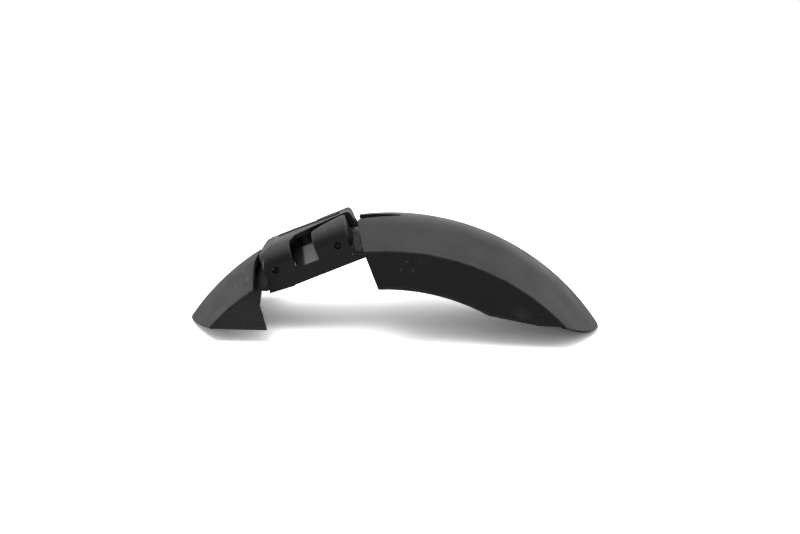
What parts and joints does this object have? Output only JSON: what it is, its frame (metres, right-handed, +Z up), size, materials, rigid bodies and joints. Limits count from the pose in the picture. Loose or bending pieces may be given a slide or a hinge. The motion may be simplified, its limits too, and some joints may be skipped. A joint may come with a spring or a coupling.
{
  "type": "bicycle mudguard",
  "caption": "Short arched mudguard for a small bicycle wheel: black moulded blades with side flanges, screwed to a saddle under a slotted bracket housing",
  "frame": {"origin": "on the floor plane, straight below the wheel's axle and midway between the two blade tips", "axes": "X runs fore and aft with the short front blade at -X and the long rear blade at +X, Y runs across the wheel, Z is up"},
  "size_m": [0.2488, 0.09, 0.0697],
  "materials": {
    "blade_black": "satin black moulded plastic with fine handling scuffs",
    "housing_black": "satin to gloss black moulded plastic",
    "saddle_black": "fine matt black moulded plastic",
    "brass_insert": "plain turned brass",
    "black_screw": "black oxide steel",
    "washer_steel": "zinc plated steel",
    "screw_steel": "zinc plated steel"
  },
  "bodies": {
    "root": {"front_blade": "blade_black", "rear_blade": "blade_black", "saddle": "saddle_black", "bracket_housing": "housing_black", "front_side_screw_left": "black_screw", "front_side_screw_right": "black_screw", "rear_side_screw_left": "black_screw", "rear_side_screw_right": "black_screw", "front_side_insert_left": "brass_insert", "front_side_insert_right": "brass_insert", "rear_side_insert_left": "brass_insert", "rear_side_insert_right": "brass_insert", "front_blade_screw_left": "screw_steel", "front_blade_screw_right": "screw_steel", "rear_blade_screw_left": "screw_steel", "rear_blade_screw_right": "screw_steel", "front_blade_washer_left": "washer_steel", "front_blade_washer_right": "washer_steel", "rear_blade_washer_left": "washer_steel", "rear_blade_washer_right": "washer_steel", "front_blade_insert_left": "brass_insert", "front_blade_insert_right": "brass_insert", "rear_blade_insert_left": "brass_insert", "rear_blade_insert_right": "brass_insert"}
  },
  "joints": []
}
